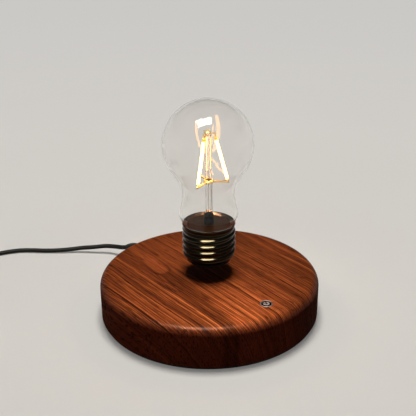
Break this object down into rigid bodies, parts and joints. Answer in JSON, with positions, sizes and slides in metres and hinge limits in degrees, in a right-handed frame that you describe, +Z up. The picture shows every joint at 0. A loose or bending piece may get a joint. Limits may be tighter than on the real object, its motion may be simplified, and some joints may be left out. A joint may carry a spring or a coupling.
{
  "type": "levitating lamp",
  "caption": "Table lamp whose light bulb floats upright over a round wooden magnet base with a push button and a low-voltage lead.",
  "frame": {"origin": "on the table, under the centre of the round base, at the underside of the feet", "axes": "+Z up through the floating bulb; -Y towards the push button at the front; +Y towards the lead's socket at the back"},
  "size_m": [0.2381, 0.2625, 0.1516],
  "materials": {
    "walnut": "oiled walnut, satin, dark streaks along the grain",
    "black_plastic": "fine moulded texture",
    "button_face": null,
    "black_rubber": "matte",
    "circuit_board": "solder mask",
    "ferrite": "ground ferrite",
    "copper_wire": "enamelled copper wire",
    "white_nylon": "moulded",
    "bright_steel": "plated",
    "bezel_metal": "satin, slightly mauve",
    "black_nickel": "black nickel, glossy",
    "clear_glass": "clear, blown",
    "phosphor": "warm glowing phosphor coating"
  },
  "bodies": {
    "base": {"wood_base": "walnut", "base_plate": "black_plastic", "foot_1": "black_rubber", "foot_2": "black_rubber", "foot_3": "black_rubber", "foot_4": "black_rubber", "plate_screw_1": "bright_steel", "plate_screw_2": "bright_steel", "plate_screw_3": "bright_steel", "plate_screw_4": "bright_steel", "main_board": "circuit_board", "ring_magnet": "ferrite", "coil_bobbin_1": "white_nylon", "coil_bobbin_2": "white_nylon", "coil_bobbin_3": "white_nylon", "coil_bobbin_4": "white_nylon", "coil_winding_1": "copper_wire", "coil_winding_2": "copper_wire", "coil_winding_3": "copper_wire", "coil_winding_4": "copper_wire", "hall_sensor": "black_plastic", "controller_chip": "black_plastic", "coil_driver": "black_plastic", "smoothing_capacitor": "bright_steel", "coil_carrier": "white_nylon", "power_coil": "copper_wire", "dc_jack": "black_plastic", "button_bezel": "bezel_metal", "tact_switch": "bright_steel", "switch_riser": "black_plastic", "plug_barrel": "bright_steel", "plug_grip": "black_plastic", "strain_relief": "black_rubber", "cord_run": "black_rubber", "cord_coil": "black_rubber", "cord_tie": "black_plastic", "power_adapter": "black_plastic", "adapter_pin_1": "bright_steel", "adapter_pin_2": "bright_steel"},
    "button": {"button_cap": "button_face", "switch_plunger": "white_nylon"},
    "bulb_magnet": {"float_magnet": "bright_steel"},
    "bulb": {"glass_envelope": "clear_glass", "cap_shell": "black_nickel", "cap_disc": "black_nickel", "stem_post": "black_plastic", "glass_stem": "clear_glass", "lead_wire_1": "bright_steel", "lead_wire_2": "bright_steel", "bottom_hub": "bright_steel", "top_hub": "bright_steel", "filament_1": "phosphor", "filament_2": "phosphor", "filament_3": "phosphor", "insulator_cup": "black_plastic", "receiver_coil": "copper_wire", "inner_spacer": "white_nylon", "driver_board": "circuit_board", "driver_capacitor": "bright_steel"}
  },
  "joints": [
    {"name": "bulb_lift", "type": "slide", "parent": "base", "child": "bulb_magnet", "axis": [0, 0, 1], "range_m": [-0.0095, 0.03], "stiffness_N_per_m": 60, "springref_m": 0.01704},
    {"name": "bulb_spin", "type": "hinge", "parent": "bulb_magnet", "child": "bulb", "pos_m": [0, 0, 0.0402], "axis": [0, 0, 1], "continuous": true},
    {"name": "button_press", "type": "slide", "parent": "base", "child": "button", "axis": [0, 0, -1], "range_m": [0, 0.0005], "stiffness_N_per_m": 1500, "springref_m": -0.0002}
  ]
}
